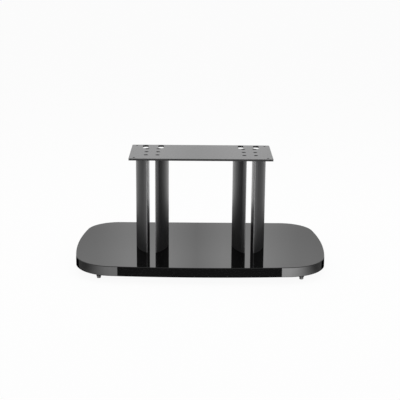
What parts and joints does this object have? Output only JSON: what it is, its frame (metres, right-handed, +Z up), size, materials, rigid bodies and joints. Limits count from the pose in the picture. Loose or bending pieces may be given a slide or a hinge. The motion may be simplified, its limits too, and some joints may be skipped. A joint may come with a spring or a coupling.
{
  "type": "speaker stand",
  "caption": "Low centre-channel speaker stand: bowed gloss plinth, paired half-oval columns, thin steel top plate with cable slots and screw-in levelling feet.",
  "frame": {"origin": "on the floor under the middle of the plinth", "axes": "+X to the right of someone in front of the stand, +Y away from them, +Z up"},
  "size_m": [0.652, 0.4109, 0.294],
  "materials": {
    "gloss_black": "high-gloss black lacquer on fibreboard",
    "dark_anodised": "satin black anodised extrusion",
    "grey_plate": "fine satin dark grey powder coat on steel",
    "black_steel": "blackened steel screw",
    "bright_steel": "zinc-plated turned steel",
    "brass_insert": "turned brass",
    "grey_glide": "light grey nylon"
  },
  "bodies": {
    "stand": {"base_plinth": "gloss_black", "column_left_outer": "dark_anodised", "column_left_inner": "dark_anodised", "column_right_inner": "dark_anodised", "column_right_outer": "dark_anodised", "top_plate": "grey_plate", "plate_screws_left_outer": "black_steel", "plate_screws_left_inner": "black_steel", "plate_screws_right_inner": "black_steel", "plate_screws_right_outer": "black_steel", "base_bolts_left_outer": "black_steel", "base_bolts_left_inner": "black_steel", "base_bolts_right_inner": "black_steel", "base_bolts_right_outer": "black_steel", "washers_left_outer": "bright_steel", "washers_left_inner": "bright_steel", "washers_right_inner": "bright_steel", "washers_right_outer": "bright_steel", "insert_front_left": "brass_insert", "insert_front_right": "brass_insert", "insert_rear_left": "brass_insert", "insert_rear_right": "brass_insert", "lock_nut_front_left": "bright_steel", "lock_nut_front_right": "bright_steel", "lock_nut_rear_left": "bright_steel", "lock_nut_rear_right": "bright_steel"},
    "foot_glide_front_left": {"glide_front_left": "grey_glide"},
    "foot_stud_front_left": {"stud_front_left": "bright_steel"},
    "foot_glide_front_right": {"glide_front_right": "grey_glide"},
    "foot_stud_front_right": {"stud_front_right": "bright_steel"},
    "foot_glide_rear_left": {"glide_rear_left": "grey_glide"},
    "foot_stud_rear_left": {"stud_rear_left": "bright_steel"},
    "foot_glide_rear_right": {"glide_rear_right": "grey_glide"},
    "foot_stud_rear_right": {"stud_rear_right": "bright_steel"}
  },
  "joints": [
    {"name": "foot_height_front_left", "type": "slide", "parent": "stand", "child": "foot_glide_front_left", "axis": [0, 0, -1], "range_m": [0, 0.0075]},
    {"name": "foot_turn_front_left", "type": "hinge", "parent": "foot_glide_front_left", "child": "foot_stud_front_left", "pos_m": [-0.257, -0.158, 0.009], "axis": [0, 0, -1], "range_deg": [0, 2160]},
    {"name": "foot_height_front_right", "type": "slide", "parent": "stand", "child": "foot_glide_front_right", "axis": [0, 0, -1], "range_m": [0, 0.0075]},
    {"name": "foot_turn_front_right", "type": "hinge", "parent": "foot_glide_front_right", "child": "foot_stud_front_right", "pos_m": [0.257, -0.158, 0.009], "axis": [0, 0, -1], "range_deg": [0, 2160]},
    {"name": "foot_height_rear_left", "type": "slide", "parent": "stand", "child": "foot_glide_rear_left", "axis": [0, 0, -1], "range_m": [0, 0.0075]},
    {"name": "foot_turn_rear_left", "type": "hinge", "parent": "foot_glide_rear_left", "child": "foot_stud_rear_left", "pos_m": [-0.257, 0.158, 0.009], "axis": [0, 0, -1], "range_deg": [0, 2160]},
    {"name": "foot_height_rear_right", "type": "slide", "parent": "stand", "child": "foot_glide_rear_right", "axis": [0, 0, -1], "range_m": [0, 0.0075]},
    {"name": "foot_turn_rear_right", "type": "hinge", "parent": "foot_glide_rear_right", "child": "foot_stud_rear_right", "pos_m": [0.257, 0.158, 0.009], "axis": [0, 0, -1], "range_deg": [0, 2160]}
  ],
  "couplings": [
    {"joint": "foot_height_front_left", "follows": "foot_turn_front_left", "m_per_rad": 0.00019894},
    {"joint": "foot_height_front_right", "follows": "foot_turn_front_right", "m_per_rad": 0.00019894},
    {"joint": "foot_height_rear_left", "follows": "foot_turn_rear_left", "m_per_rad": 0.00019894},
    {"joint": "foot_height_rear_right", "follows": "foot_turn_rear_right", "m_per_rad": 0.00019894}
  ]
}
